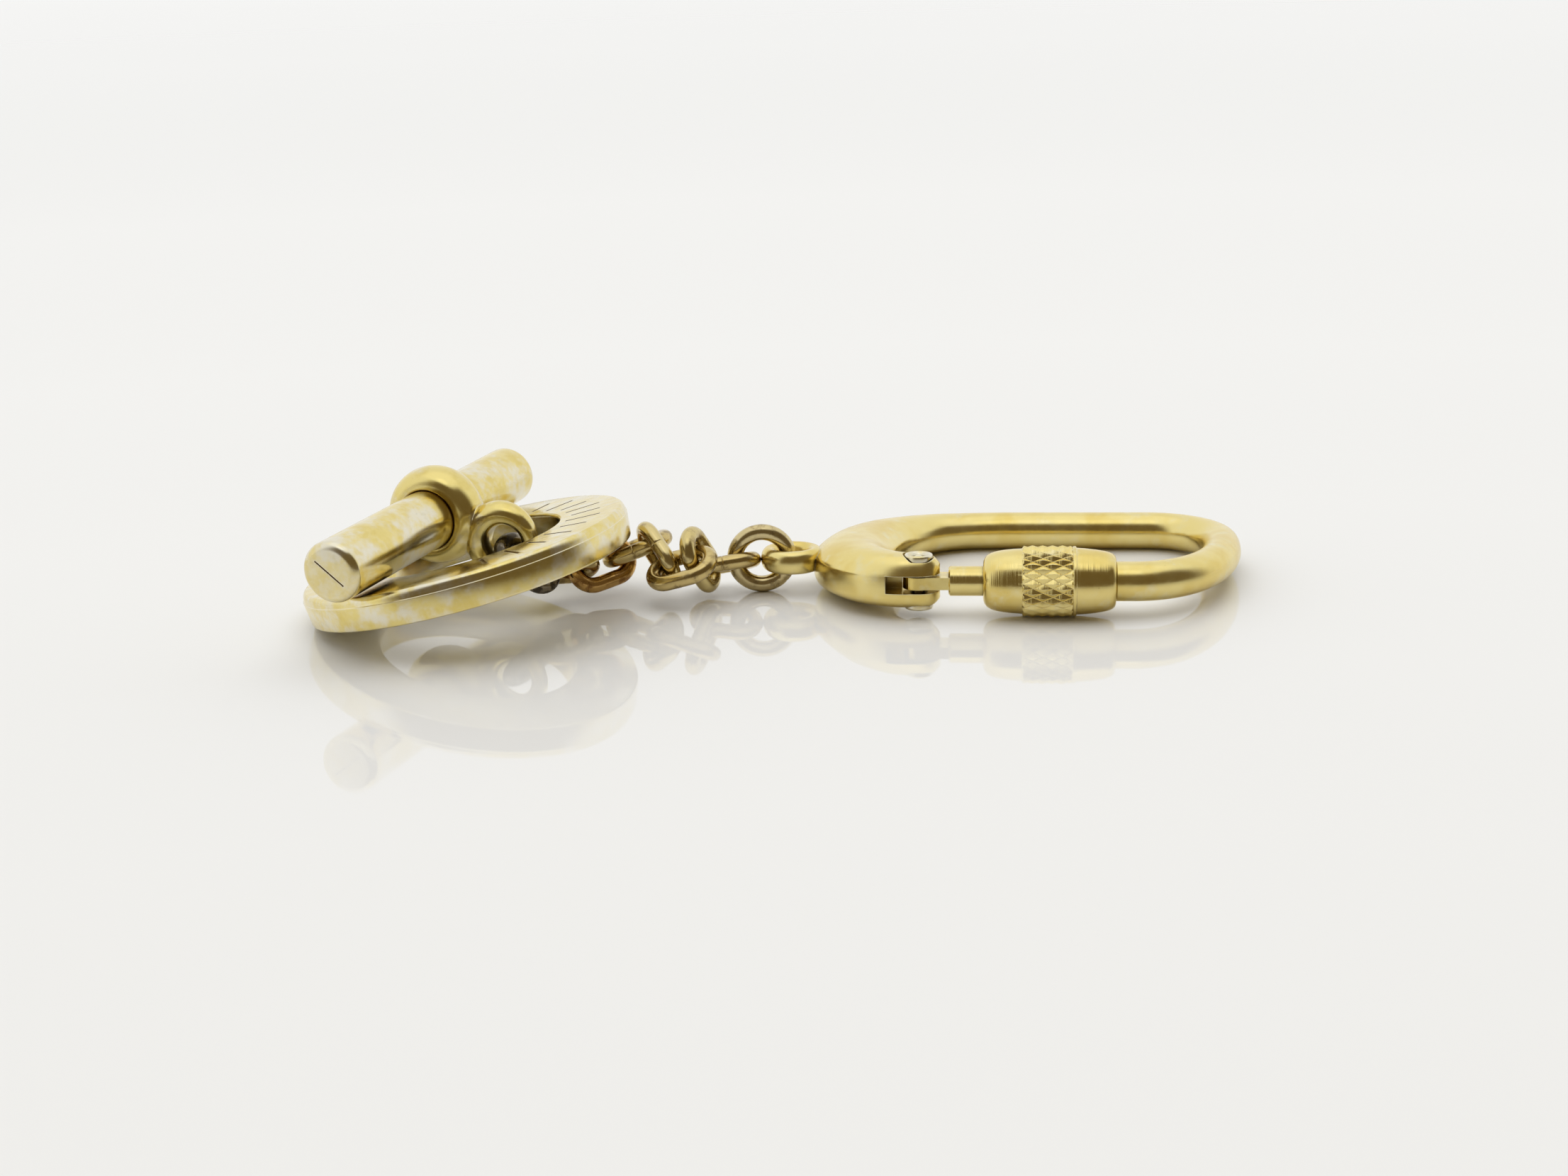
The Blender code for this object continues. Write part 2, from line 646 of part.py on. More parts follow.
def build_keyring():
    clear_scene()
    parts = new_collection(PARTS_NAME)
    cutters = new_collection(CUTTERS_NAME)
    frame_gold = material("satin_gold", (0.58, 0.46, 0.13), 0.3)
    chain_gold = material("chain_brass", (0.36, 0.27, 0.12), 0.35)
    ring_gold = material("worn_gold", (0.66, 0.54, 0.24), 0.32)
    rivet_steel = material("rivet_silver", (0.55, 0.53, 0.47), 0.3)

    # The near bar rests on the knurl and the far bar on the surface
    lean = math.asin((KNURL_DIA - BAR_DIA) / 2 / PITCH)
    root = joint("keyring_root", None, Matrix(), parts)
    casting_world = Matrix.Translation((0, 0, KNURL_DIA / 2)) @ Matrix.Rotation(-lean, 4, "X")
    casting = joint("casting_axis", root, casting_world, parts)
    gate = joint("gate_hinge_axis", casting, casting_world, parts)
    slide = joint("sleeve_slide_axis", gate, casting_world @ Matrix.Translation((SLEEVE_START, 0, 0)), parts)
    build_frame(parts, cutters, frame_gold, casting)
    build_rivet(parts, rivet_steel, casting)
    build_gate(parts, cutters, frame_gold, gate)
    build_sleeve(parts, frame_gold, slide)

    # The jump ring swings about the eye's own axis
    ring_place = jump_ring_place(casting)
    eye_world = casting_world @ Matrix.Translation((*FRAME_EYE_OFFSET, FRAME_EYE_RISE))
    body = joint("jump_ring_axis", casting, eye_world, parts)
    ring = torus("jump_ring", JUMP_RADIUS, JUMP_WIRE_DIA / 2, RING_STEPS, parts)
    ring.data.materials.append(chain_gold)
    put(ring, body, ring_place)

    for number, place in enumerate(chain_places(casting), 1):
        body = joint("chain_link_axis_%d" % number, body, place, parts)
        build_link("chain_link_%d" % number, parts, chain_gold, body, place)
        last = place

    toggle = joint("toggle_axis", body, collar_eye_place(last), parts)
    build_collar(parts, cutters, ring_gold, toggle)
    build_toggle_bar(parts, ring_gold, toggle)
    disc_body = joint("disc_ring_axis", toggle, disc_place(toggle), parts)
    build_disc(parts, ring_gold, disc_body)
    settle(root, parts)


build_keyring()
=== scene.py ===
# Toggle keyring: a cast carabiner with a knurled screw sleeve, a short chain
# of oval links and a flat disc ring held by a toggle bar laid across its hole.
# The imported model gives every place; each piece here is the finished form of
# one of its nodes. Lengths are in millimetres and turn to metres in MM.
import json
import math

import bmesh
import bpy
import numpy as np
from mathutils import Matrix, Vector


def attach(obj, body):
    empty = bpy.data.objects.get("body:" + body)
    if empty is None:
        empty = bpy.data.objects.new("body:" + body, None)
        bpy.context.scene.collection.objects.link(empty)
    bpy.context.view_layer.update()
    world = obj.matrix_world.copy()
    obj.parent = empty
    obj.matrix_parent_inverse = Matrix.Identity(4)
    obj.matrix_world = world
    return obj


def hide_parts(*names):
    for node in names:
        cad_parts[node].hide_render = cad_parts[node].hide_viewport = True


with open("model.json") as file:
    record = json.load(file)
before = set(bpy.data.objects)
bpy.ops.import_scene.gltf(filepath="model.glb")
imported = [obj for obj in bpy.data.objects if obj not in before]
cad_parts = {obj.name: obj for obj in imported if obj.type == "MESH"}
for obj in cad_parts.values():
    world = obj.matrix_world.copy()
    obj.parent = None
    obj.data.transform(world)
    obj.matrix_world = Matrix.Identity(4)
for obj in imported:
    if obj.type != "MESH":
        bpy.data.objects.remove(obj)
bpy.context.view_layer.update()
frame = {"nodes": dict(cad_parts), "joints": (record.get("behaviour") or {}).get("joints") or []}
MM = 0.001


# ---- Carabiner casting
# A zinc casting, plated in satin gold: a broad domed back with a forked ear, a
# round bar about the loop and a thick eye for the jump ring. A soft crease runs
# between the domed top and the side wall, where the two halves of the die met.

joints = {joint["name"]: joint for joint in frame["joints"]}


def placement(origin, x_axis, z_axis):
    """A matrix from its origin, its X direction and its Z direction."""
    x = Vector(x_axis).normalized()
    z = Vector(z_axis)
    z = (z - x * z.dot(x)).normalized()
    y = z.cross(x)
    return Matrix.Translation(origin) @ Matrix((x, y, z)).transposed().to_4x4()


rivet_place = placement(joints["gate_hinge"]["pos_m"], joints["sleeve_slide"]["axis"],
                        joints["gate_hinge"]["axis"])


def linear(hex_colour):
    """A hex sRGB colour as the linear values that a shader takes."""
    values = [int(hex_colour[k:k + 2], 16) / 255 for k in (1, 3, 5)]
    return (*[((v + 0.055) / 1.055) ** 2.4 if v > 0.04045 else v / 12.92 for v in values], 1)


def add_node(tree, kind, inputs=None, **settings):
    """A shader node with its settings, and a value or a link for each input."""
    made = tree.nodes.new(kind)
    for key, value in settings.items():
        setattr(made, key, value)
    for key, value in (inputs or {}).items():
        if isinstance(value, bpy.types.NodeSocket):
            tree.links.new(value, made.inputs[key])
        else:
            made.inputs[key].default_value = value
    return made


def new_metal(name):
    """A material with its shader set to bare metal."""
    made = bpy.data.materials.new(name)
    made.use_nodes = True
    shader = made.node_tree.nodes["Principled BSDF"]
    shader.inputs["Metallic"].default_value = 1
    return made, made.node_tree, shader


def blotches(tree, size_mm, detail, low, high, place):
    """Cloudy patches of about a size: 0 outside them and 1 inside."""
    noise = add_node(tree, "ShaderNodeTexNoise", {"Vector": place, "Scale": 1 / (size_mm * MM),
                                                  "Detail": detail, "Roughness": 0.6})
    ramp = add_node(tree, "ShaderNodeMapRange", {0: noise.outputs[0], 1: low, 2: high},
                    interpolation_type="SMOOTHSTEP")
    return ramp.outputs[0]


def coats(tree, colour, *layers):
    """A base colour with other colours laid over it, each by its own share."""
    for share, tone in layers:
        mix = add_node(tree, "ShaderNodeMix", {0: share, 6: colour, 7: tone}, data_type="RGBA")
        colour = mix.outputs[2]
    return colour


def edge_share(tree, reach_mm, low, high):
    """How near a sharp edge a point lies, from how far a rounded edge would
    turn its normal."""
    rounded = add_node(tree, "ShaderNodeBevel", {"Radius": reach_mm * MM}, samples=6)
    flat = add_node(tree, "ShaderNodeNewGeometry")
    dot = add_node(tree, "ShaderNodeVectorMath", {0: rounded.outputs[0], 1: flat.outputs["Normal"]},
                   operation="DOT_PRODUCT")
    ramp = add_node(tree, "ShaderNodeMapRange", {0: dot.outputs["Value"], 1: high, 2: low})
    return ramp.outputs[0]


def shade_and_dirt_share(tree, reach_mm, clear_at, darkest_at, own_only):
    """How dark a corner is painted, from the share of open space above it, within the piece alone
    or between it and its neighbours: painted shade, with some dirt."""
    hollow = add_node(tree, "ShaderNodeAmbientOcclusion", {"Distance": reach_mm * MM},
                      samples=6, only_local=own_only)
    ramp = add_node(tree, "ShaderNodeMapRange", {0: hollow.outputs["AO"], 1: clear_at, 2: darkest_at,
                                                 4: 0.85})
    return ramp.outputs[0]


# Satin gold plate on cast zinc, tumbled before plating: a soft broad sheen, a
# little greyer where the plate is thin, with a few pits left by the casting.
# On turned brass it is smoother and shows the lathe's rings. The corners' darkening, painted shade
# with some dirt, is given as the corner function above takes it, without the tree.
def satin_gold(name, turned_lines, film, film_from, corner_shade_and_dirt):
    made, tree, shader = new_metal(name)
    cloud_mm, film_mm, pit_mm, sheen_mm, peel_mm = 6.5, 2.6, 0.32, 1.8, 0.9
    edge_mm, round_mm, smoothest, roughest = 0.18, 0.12, 0.19, 0.27
    if turned_lines:
        edge_mm, round_mm, smoothest, roughest = 0.05, 0.04, 0.14, 0.20
    place = add_node(tree, "ShaderNodeTexCoord").outputs["Object"]
    clouds = blotches(tree, cloud_mm, 3, 0.40, 0.66, place)
    thin = blotches(tree, film_mm, 4, film_from, film_from + 0.28, place)
    pits = blotches(tree, pit_mm, 2, 0.74, 0.80, place)
    edge = edge_share(tree, edge_mm, 0.90, 0.995)
    # The dark brown laid where little open space lies above is painted shade in the corners, with
    # some dirt
    plate = coats(tree, linear("#E9D791"), (clouds, linear("#E2CA78")), (thin, linear(film)),
                  (pits, linear("#A8935A")), (edge, linear("#ECE3BE")),
                  (shade_and_dirt_share(tree, *corner_shade_and_dirt), linear("#5E4A24")))
    tree.links.new(plate, shader.inputs["Base Color"])
    sheen = blotches(tree, sheen_mm, 4, 0.3, 0.7, place)
    rough = add_node(tree, "ShaderNodeMapRange", {0: sheen, 3: smoothest, 4: roughest})
    tree.links.new(rough.outputs[0], shader.inputs["Roughness"])
    # Tumbling leaves a fine orange peel. The real one is too fine to show here,
    # so it is drawn 0.9 mm from crest to crest.
    peel = add_node(tree, "ShaderNodeTexNoise", {"Vector": place, "Scale": 1 / (peel_mm * MM),
                                                 "Detail": 2})
    bevel = add_node(tree, "ShaderNodeBevel", {"Radius": round_mm * MM}, samples=4)
    bump = add_node(tree, "ShaderNodeBump", {"Strength": 0.14, "Distance": 0.05 * MM,
                                             "Height": peel.outputs[0],
                                             "Normal": bevel.outputs[0]})
    if turned_lines:
        # The lathe's feed leaves uneven rings round the axis, drawn 0.5 mm apart
        # because real ones are too fine to show
        feed_mm = 0.5
        split = add_node(tree, "ShaderNodeSeparateXYZ", {0: place})
        rings = add_node(tree, "ShaderNodeTexNoise", {"W": split.outputs[2],
                                                      "Scale": 1 / (feed_mm * MM),
                                                      "Detail": 4, "Roughness": 0.7},
                         noise_dimensions="1D")
        bump = add_node(tree, "ShaderNodeBump", {"Strength": 0.85, "Distance": 0.06 * MM,
                                                 "Height": rings.outputs[0],
                                                 "Normal": bump.outputs[0]})
    tree.links.new(bump.outputs[0], shader.inputs["Normal"])
    return made


# The last four values set the corner darkening, painted shade with some dirt, within the casting
# alone
cast_gold = satin_gold("satin_gold_plated_casting", False, "#E6DBAD", 0.52, (2.4, 0.56, 0.26, True))


def skin(name, rings, close_ends, close_loop):
    """A mesh over a row of closed rings of points."""
    mesh = bpy.data.meshes.new(name)
    work = bmesh.new()
    rows = [[work.verts.new(point) for point in ring] for ring in rings]
    pairs = list(zip(rows, rows[1:]))
    if close_loop:
        pairs.append((rows[-1], rows[0]))
    count = len(rows[0])
    for first, second in pairs:
        for k in range(count):
            after = (k + 1) % count
            work.faces.new((first[k], second[k], second[after], first[after]))
    if close_ends:
        work.faces.new(rows[0])
        work.faces.new(list(reversed(rows[-1])))
    bmesh.ops.recalc_face_normals(work, faces=work.faces)
    work.to_mesh(mesh)
    work.free()
    made = bpy.data.objects.new(name, mesh)
    bpy.context.scene.collection.objects.link(made)
    return made


def turn_profile(name, profile, steps, closed):
    """A profile of (radius, height) points in mm, turned about Z."""
    rings = []
    for radius, height in profile:
        ring = []
        for k in range(steps):
            angle = 2 * math.pi * k / steps
            ring.append((radius * math.cos(angle) * MM, radius * math.sin(angle) * MM, height * MM))
        rings.append(ring)
    return skin(name, rings, not closed, closed)


def cut(made, other, operation="DIFFERENCE"):
    """Cut or join a piece with another shape, and drop that shape."""
    step = made.modifiers.new(other.name, "BOOLEAN")
    step.operation = operation
    step.object = other
    step.solver = "EXACT"
    apply_modifiers(made)
    bpy.data.objects.remove(other, do_unlink=True)


def apply_modifiers(made):
    """Keep a piece's shape as its modifiers leave it."""
    bpy.context.view_layer.update()
    shape = made.evaluated_get(bpy.context.evaluated_depsgraph_get())
    mesh = bpy.data.meshes.new_from_object(shape)
    made.modifiers.clear()
    made.data = mesh


def settle(made, world, body, metal, slot, *nodes, sharp_degrees=40):
    """Put a finished piece in its place, on its body, for its CAD nodes."""
    made.matrix_world = world
    made.data.shade_smooth()
    made.data.set_sharp_from_angle(angle=math.radians(sharp_degrees))
    made.data.materials.clear()
    made.data.materials.append(metal)
    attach(made, body)
    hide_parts(*nodes)
    return made


def box_shape(name, low, high):
    """A box between two corners in mm."""
    middle = [(a + b) / 2 * MM for a, b in zip(low, high)]
    size = [(b - a) * MM for a, b in zip(low, high)]
    mesh = bpy.data.meshes.new(name)
    work = bmesh.new()
    place = Matrix.Translation(middle) @ Matrix.Diagonal((*size, 1))
    bmesh.ops.create_cube(work, size=1, matrix=place)
    work.to_mesh(mesh)
    work.free()
    made = bpy.data.objects.new(name, mesh)
    bpy.context.scene.collection.objects.link(made)
    return made


# The casting's centre line from the rivet round the back to the far bar, as
# shares of the loop's pitch, then the half width and half height as shares of
# the bar's radius, how far the section is from round to crowned, and the
# crown's power.
pitch = 28.0
bar_radius = 2.375
casting_line = (
    (0.000, 0.000, 1.10, 1.30, 1.0, 3.2), (-0.105, 0.022, 1.32, 1.32, 1.0, 2.9),
    (-0.215, 0.115, 1.76, 1.34, 1.0, 2.6), (-0.285, 0.265, 2.08, 1.34, 1.0, 2.3),
    (-0.300, 0.420, 2.16, 1.33, 1.0, 2.2), (-0.274, 0.560, 2.08, 1.29, 0.9, 2.2),
    (-0.208, 0.715, 1.84, 1.20, 0.75, 2.2), (-0.105, 0.840, 1.54, 1.11, 0.5, 2.2),
    (0.030, 0.935, 1.25, 1.04, 0.25, 2.2), (0.190, 0.985, 1.08, 1.00, 0.0, 2.2),
    (0.370, 1.000, 1.00, 1.00, 0.0, 2.2))


def through(rows, steps):
    """Rows at even steps along a smooth curve through the given rows."""
    rows = np.array(rows)
    padded = np.vstack([2 * rows[0] - rows[1], rows, 2 * rows[-1] - rows[-2]])
    result = []
    for k in range(len(rows) - 1):
        a, b, c, d = padded[k:k + 4]
        for step in range(steps):
            t = step / steps
            result.append((2 * b + (c - a) * t + (2 * a - 5 * b + 4 * c - d) * t ** 2
                           + (3 * b - a - 3 * c + d) * t ** 3) / 2)
    result.append(rows[-1])
    return result


def casting_rows():
    """Sections (x, y, half width, half height, crowned, power) in mm, from the
    ear to the nose."""
    rows = []
    # The ear ends in a half round that also drops towards its tip
    ear_radius, ear_height, ear_drop = 2.6, 3.1, 0.38
    for angle in np.linspace(math.pi / 2, 0, 12)[1:-1]:
        drop = ear_drop * math.sin(angle) ** 3.4
        rows.append((ear_radius * math.sin(angle), 0, ear_radius * math.cos(angle),
                     ear_height * (1 - drop), 1, 3.2))
    for x, y, width, height, crowned, power in through(casting_line, 9):
        rows.append((x * pitch, y * pitch, width * bar_radius, height * bar_radius, crowned, power))
    # The far corner is a round bend and the near one a longer ellipse
    corner_x, corner_length, far_radius = 25.5, 12.0, 9.0
    far_x = corner_x + corner_length - far_radius
    start = rows[-1][0]
    for share in (0.33, 0.66):
        rows.append((start + (far_x - start) * share, pitch, bar_radius, bar_radius, 0, 2))
    for angle in np.linspace(0, math.pi / 2, 22):
        rows.append((far_x + far_radius * math.sin(angle),
                     pitch - far_radius * (1 - math.cos(angle)), bar_radius, bar_radius, 0, 2))
    for angle in np.linspace(0, math.pi / 2, 30)[1:]:
        rows.append((corner_x + corner_length * math.cos(angle),
                     (pitch - far_radius) * (1 - math.sin(angle)), bar_radius, bar_radius, 0, 2))
    nose_tip, nose_length = 22.6, 1.0
    for angle in np.linspace(0, math.pi / 2, 12)[:-1]:
        rows.append((nose_tip + nose_length * (1 - math.sin(angle)), 0,
                     bar_radius * math.cos(angle), bar_radius * math.cos(angle), 0, 2))
    return rows


def casting_section(width, height, crowned, power, steps):
    """Round where crowned is 0; where it is 1, a leaning side wall, a crease at
    a third of the half height and a crown above it."""
    crease, foot, lean, crown_width, crown_rise, belly = 0.33, -0.5, 0.12, 0.97, 0.75, 0.5
    points = []
    for k in range(steps):
        angle = 2 * math.pi * k / steps
        c, s = math.cos(angle), math.sin(angle)
        across = abs(c) / math.cos(math.pi / 6)
        u = math.copysign(crown_width * across, c)
        if abs(s) < 0.501:
            share = s + 0.5
            u = math.copysign(1 - lean * s ** 2, c)
            v = crease * share + foot * (1 - share)
        elif s > 0:
            v = crease + crown_rise * (1 - across ** power)
        else:
            v = foot - belly * (1 - across ** 3) ** 0.6
        points.append((width * (c + (u - c) * crowned), height * (s + (v - s) * crowned)))
    return points


def build_casting():
    rows = casting_rows()
    rings = []
    for k, (x, y, width, height, crowned, power) in enumerate(rows):
        back, ahead = rows[max(k - 1, 0)], rows[min(k + 1, len(rows) - 1)]
        along = Vector((ahead[0] - back[0], ahead[1] - back[1], 0)).normalized()
        side = Vector((along.y, -along.x, 0))
        ring = []
        for u, v in casting_section(width, height, crowned, power, 72):
            ring.append((Vector((x, y, v)) + side * u) * MM)
        rings.append(ring)
    casting = skin("carabiner_casting", rings, True, False)
    # The eye, a ring of an upright oval section, sunk in the casting's back
    middle, half, tall, square = 2.88, 1.03, 1.45, 0.92
    eye_x, eye_y, eye_z = -16.1, 9.5, 0.6
    profile = []
    eye_steps = 28
    for k in range(eye_steps):
        angle = 2 * math.pi * k / eye_steps
        c, s = math.cos(angle), math.sin(angle)
        profile.append((middle + math.copysign(abs(s) ** square, s) * half,
                        math.copysign(abs(c) ** square, c) * tall))
    eye = turn_profile("eye", profile, 72, True)
    eye.data.transform(Matrix.Translation((eye_x * MM, eye_y * MM, eye_z * MM)))
    cut(casting, eye, "UNION")
    # The fork's slot runs right through, and its back end is a pocket
    slot, slot_back, pocket_back, pocket_side = 1.05, -2.0, -3.9, 0.8
    cut(casting, box_shape("fork_slot", (slot_back, -5, -slot), (5, 7, slot)))
    cut(casting, box_shape("slot_pocket", (pocket_back, -5, -slot), (-1.5, pocket_side, slot)))
    # A spot face on each ear takes a head of the rivet
    spot_radius, spot_height, outside = 1.9, 2.6, 5
    for top, bottom in ((outside, spot_height), (-spot_height, -outside)):
        ends = [(spot_radius, top), (spot_radius, bottom)]
        cut(casting, turn_profile("spot_face", ends, 64, False))
    return casting


casting = build_casting()
settle(casting, rivet_place, "frame", cast_gold, "satin_gold", "frame")


# ---- Rivet
# A plated brass rivet through the fork, its gold thin and rubbed pale. Its heads
# were spun over in the spot faces: each is a low ring with a dished middle and
# a small dot at the centre.

# A turned end is closed by a tiny flat of this radius at its centre
centre_flat = 0.02


def build_rivet():
    seat, shank = 2.3, 0.8
    # The head as (radius, height), over its rim and down to the centre's dot
    head = [(1.68, seat), (1.74, 3.05), (1.72, 3.17), (1.63, 3.30), (1.46, 3.36), (1.28, 3.30),
            (1.14, 3.12), (1.00, 2.98), (0.60, 2.96), (0.44, 3.08), (0.28, 3.15),
            (centre_flat, 3.17)]
    profile = list(reversed(head)) + [(shank, seat), (shank, -seat)]
    profile += [(r, -z) for r, z in head]
    return turn_profile("fork_rivet", profile, 64, False)


rivet = build_rivet()
rivet_gold = satin_gold("satin_gold_plated_rivet", False, "#E5DFCA", 0.24,
                        (0.8, 0.82, 0.42, False))
settle(rivet, rivet_place, "frame", rivet_gold, "rivet_silver", "gate_pin")


# ---- Gate arm
# Brass, turned and milled, then plated with the rest: a flat tongue between
# the ears, a round stud that the sleeve slides on, and its hidden rod.

# Its corners darken from the pieces round it too, which paints the fork's shade on the tongue, with
# some dirt
arm_gold = satin_gold("satin_gold_plated_gate_arm", True, "#E6DBAD", 0.52,
                      (0.9, 0.75, 0.35, False))
to_sleeve_axis = Matrix.Rotation(math.pi / 2, 4, "Y")


def build_gate():
    """Turned about Z, which is the sleeve's axis; the rivet runs along X."""
    tongue_thickness, tongue_radius, tongue_width, tongue_length = 1.5, 1.9, 3.2, 3.6
    stud, stop, rivet_hole, chamfer, overlap = 1.8, 2.45, 1.1, 0.2, 0.3
    stop_start, stop_end, rod_end = 9.1, 10.3, 19.4
    profile = [(centre_flat, rod_end), (stud, rod_end), (stud, stop_end), (stop, stop_end),
               (stop, stop_start), (stud, stop_start), (stud, tongue_length + chamfer),
               (stud - chamfer, tongue_length), (centre_flat, tongue_length)]
    arm = turn_profile("gate_arm_piece", profile, 64, False)
    tongue = box_shape("tongue", (-tongue_thickness / 2, -tongue_width / 2, 0),
                       (tongue_thickness / 2, tongue_width / 2, tongue_length + overlap))
    to_rivet_axis = Matrix.Rotation(math.pi / 2, 4, "Y")
    end = turn_profile("tongue_end", [(tongue_radius, tongue_thickness / 2),
                                      (tongue_radius, -tongue_thickness / 2)], 64, False)
    end.data.transform(to_rivet_axis)
    cut(tongue, end, "UNION")
    hole = turn_profile("tongue_hole", [(rivet_hole, tongue_thickness),
                                        (rivet_hole, -tongue_thickness)], 32, False)
    hole.data.transform(to_rivet_axis)
    cut(tongue, hole)
    cut(arm, tongue, "UNION")
    return arm


gate = build_gate()
settle(gate, rivet_place @ to_sleeve_axis, "gate", arm_gold, "satin_gold", "gate_arm")


# ---- Screw sleeve
# Brass, turned on a lathe, with a band of raised diamonds that a pair of
# slanted wheels pressed in, then plated. The closed end has a rounded shoulder
# and the open end a thin lip round the frame's nose.

def diamond_height(along, turn, length, count):
    """A raised diamond, from the nearer of the two crossing grooves."""
    first = (along / length + turn * count) % 1
    second = (along / length - turn * count) % 1
    return min(1 - abs(2 * first - 1), 1 - abs(2 * second - 1))


def build_sleeve():
    band_start, band_end, band_radius = 4.7, 10.6, 4.28
    groove, diamond_length, diamond_count = 0.34, 2.36, 22
    grid = 16
    band_length, base = band_end - band_start, band_radius - groove
    columns = diamond_count * grid

    def ring(height, radii):
        """A ring of points at a height, with a radius for each column."""
        row = []
        for k, radius in enumerate(radii):
            angle = 2 * math.pi * k / columns
            row.append((radius * math.cos(angle) * MM, radius * math.sin(angle) * MM, height * MM))
        return row

    # The closed end as (height, radius), from its face to the band
    closed_end = [(0.00, 2.05), (0.06, 2.45), (0.22, 2.80), (0.50, 3.13), (0.95, 3.38),
                  (1.60, 3.58), (2.50, 3.74), (3.60, 3.85), (4.62, 3.90)]
    rings = [ring(height, [radius] * columns) for height, radius in closed_end]
    first_row = len(rings)
    rows = round(band_length / diamond_length * grid)
    # The grooves run out over the last quarter of a millimetre of the band
    run_out, first_lift = 0.25, 0.35
    for row in range(rows + 1):
        along = band_length * row / rows
        near_end = min(along, band_length - along)
        depth = groove * min(1.0, first_lift + near_end / run_out)
        radii = [base + depth * diamond_height(along, k / columns, diamond_length, diamond_count)
                 for k in range(columns)]
        rings.append(ring(band_start + along, radii))
    # A plain ring beside the band, the taper, the lip, and back down the bore
    bore, stud_hole, bore_end = 2.75, 1.9, 1.1
    open_end = [(10.62, 4.12), (10.70, 4.18), (10.98, 4.18), (11.06, 4.10), (11.08, 3.99),
                (12.0, 3.93), (13.4, 3.78), (14.5, 3.60), (15.1, 3.42), (15.45, 3.22),
                (15.64, 3.02), (15.70, 2.86), (15.62, bore), (bore_end, bore),
                (bore_end, stud_hole), (0.0, stud_hole)]
    for height, radius in open_end:
        rings.append(ring(height, [radius] * columns))
    made = skin("knurled_sleeve", rings, False, True)
    # Faces that a groove crosses are split along it, which keeps it straight
    work = bmesh.new()
    work.from_mesh(made.data)
    work.verts.ensure_lookup_table()
    for row in range(rows):
        for k in range(columns):
            below, above = (first_row + row) * columns, (first_row + row + 1) * columns
            after = (k + 1) % columns
            ends = None
            if (row - k) % grid == 0:
                ends = work.verts[below + k], work.verts[above + after]
            elif (row + k + 1) % grid == 0:
                ends = work.verts[above + k], work.verts[below + after]
            if ends:
                face = next(face for face in ends[0].link_faces if ends[1] in face.verts)
                bmesh.utils.face_split(face, *ends)
    work.to_mesh(made.data)
    work.free()
    return made


sleeve = build_sleeve()
sleeve_gold = satin_gold("satin_gold_plated_sleeve", True, "#E6DBAD", 0.52,
                         (0.9, 0.30, 0.10, True))
sleeve_start = 7.7
sleeve_place = rivet_place @ Matrix.Translation((sleeve_start * MM, 0, 0)) @ to_sleeve_axis
settle(sleeve, sleeve_place, "sleeve", sleeve_gold, "satin_gold", "screw_sleeve", sharp_degrees=32)


# ---- Jump ring and chain
# Round brass wire, wound on a former, cut and closed with butt joints. The
# plate has gone from the wire: it is a browner brass with a dull film in the
# places that don't rub.

def wire_brass(name, bright, dull, film_share):
    """Drawn brass wire, bare: smooth and bright where it rubs, browner and
    duller under its film, with small dark specks and fine scratches."""
    made, tree, shader = new_metal(name)
    film_mm, speck_mm, scratch_mm = 1.8, 0.45, 0.35
    place = add_node(tree, "ShaderNodeTexCoord").outputs["Object"]
    film = blotches(tree, film_mm, 4, 0.62 - film_share, 0.80 - film_share, place)
    specks = blotches(tree, speck_mm, 3, 0.68, 0.80, place)
    tone = coats(tree, linear(bright), (film, linear(dull)), (specks, linear("#75623C")))
    tree.links.new(tone, shader.inputs["Base Color"])
    rough = add_node(tree, "ShaderNodeMapRange", {0: film, 3: 0.18, 4: 0.32})
    tree.links.new(rough.outputs[0], shader.inputs["Roughness"])
    scratch = add_node(tree, "ShaderNodeTexNoise", {"Vector": place,
                                                    "Scale": 1 / (scratch_mm * MM), "Detail": 4})
    bump = add_node(tree, "ShaderNodeBump", {"Strength": 0.07, "Distance": 0.04 * MM,
                                             "Height": scratch.outputs[0]})
    tree.links.new(bump.outputs[0], shader.inputs["Normal"])
    return made


def lie_of(name):
    """Where a symmetric node lies: its centre, its directions from the longest
    to the shortest, and its spread along them."""
    points = np.array([vertex.co for vertex in frame["nodes"][name].data.vertices])
    centre = points.mean(0)
    spread, directions = np.linalg.eigh(np.cov((points - centre).T))
    return Vector(centre), [Vector(directions[:, k]) for k in (2, 1, 0)], spread[::-1]


def ring_lie(name):
    """The placement of a round node about its own axis."""
    centre, directions, spread = lie_of(name)
    odd = 2 if abs(spread[0] - spread[1]) < abs(spread[1] - spread[2]) else 0
    axis = directions[odd]
    return placement(centre, directions[1], axis)


def bent_wire(name, path, wire_radius, joint_at):
    """Round wire along a closed path in the XY plane, with a shallow nick
    round the wire where its two ends meet."""
    count, around = len(path), 24
    nick_depth, nick_mm = 0.05, 0.06
    rings = []
    for k in range(count):
        back, ahead = path[k - 1], path[(k + 1) % count]
        along = Vector((ahead[0] - back[0], ahead[1] - back[1], 0)).normalized()
        side = Vector((along.y, -along.x, 0))
        middle = Vector((*path[k], 0))
        away = (middle - Vector((*joint_at, 0))).length
        radius = wire_radius * (1 - nick_depth * math.exp(-(away / nick_mm) ** 2))
        ring = []
        for step in range(around):
            angle = 2 * math.pi * step / around
            ring.append((middle + side * radius * math.cos(angle)
                         + Vector((0, 0, radius * math.sin(angle)))) * MM)
        rings.append(ring)
    return skin(name, rings, False, True)


